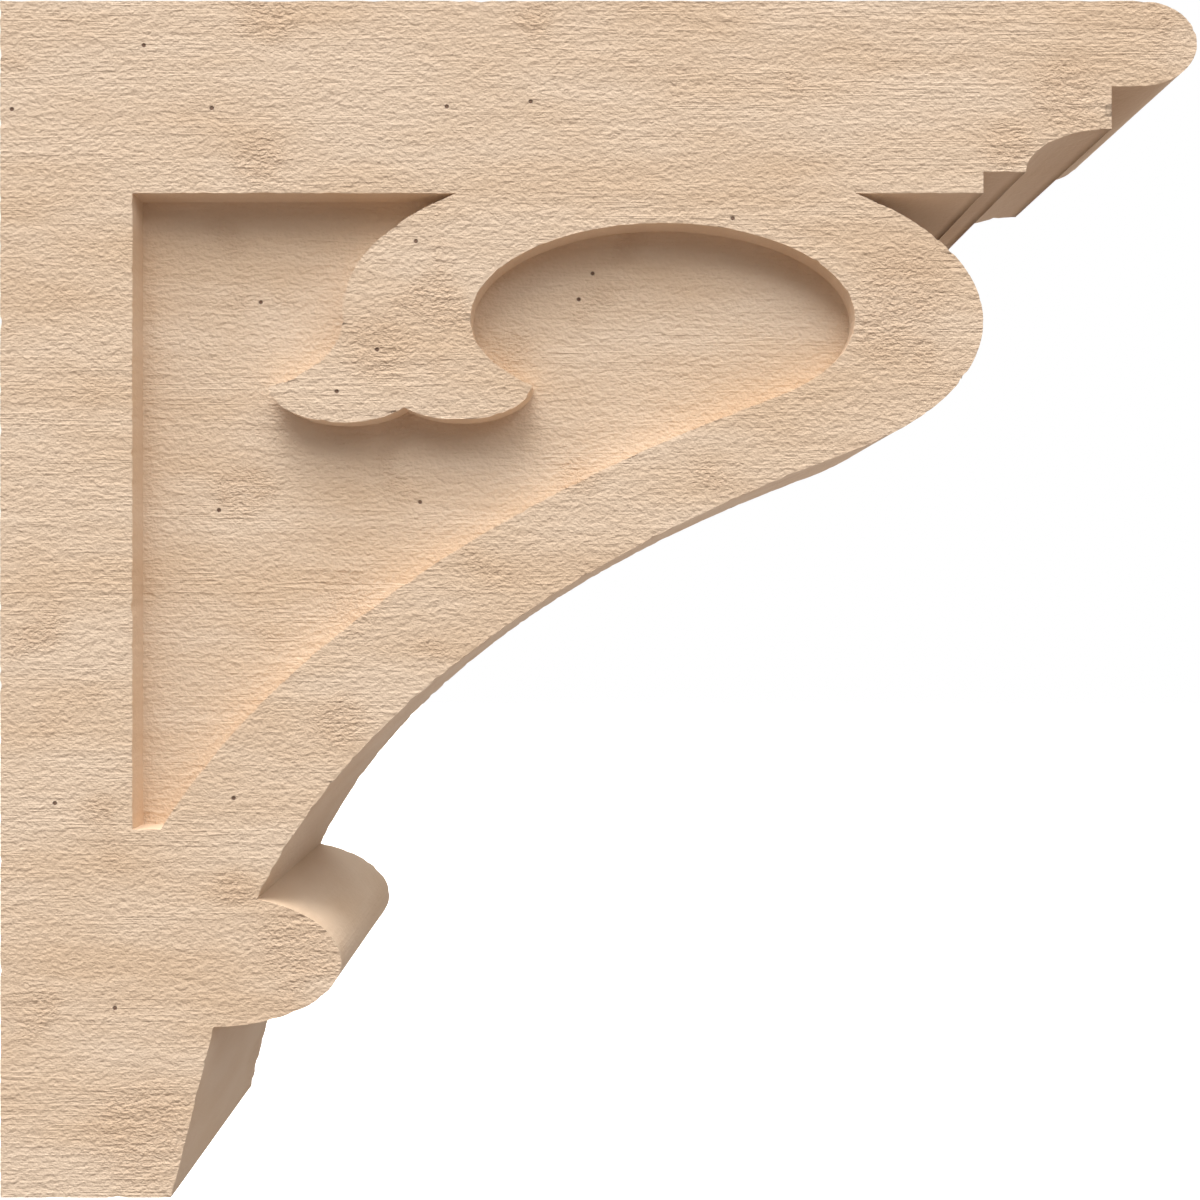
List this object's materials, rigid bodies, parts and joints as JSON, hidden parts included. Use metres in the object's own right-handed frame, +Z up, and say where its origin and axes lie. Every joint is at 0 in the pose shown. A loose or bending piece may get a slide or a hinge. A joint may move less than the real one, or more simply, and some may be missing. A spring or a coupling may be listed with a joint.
{
  "type": "carved timber corbel",
  "caption": "Rough-sawn timber corbel: wall bar, moulded rail and a curved ribbon that rolls into a leaf-ended scroll over sunk faces.",
  "frame": {"origin": "middle of the face that lies against the wall", "axes": "+X out from the wall, +Y across the timber's thickness, +Z up"},
  "size_m": [0.3556, 0.0888, 0.3556],
  "materials": {
    "rough_sawn_timber": "unpainted, rough-sawn, matt"
  },
  "bodies": {
    "root": {"corbel": "rough_sawn_timber"}
  },
  "joints": []
}
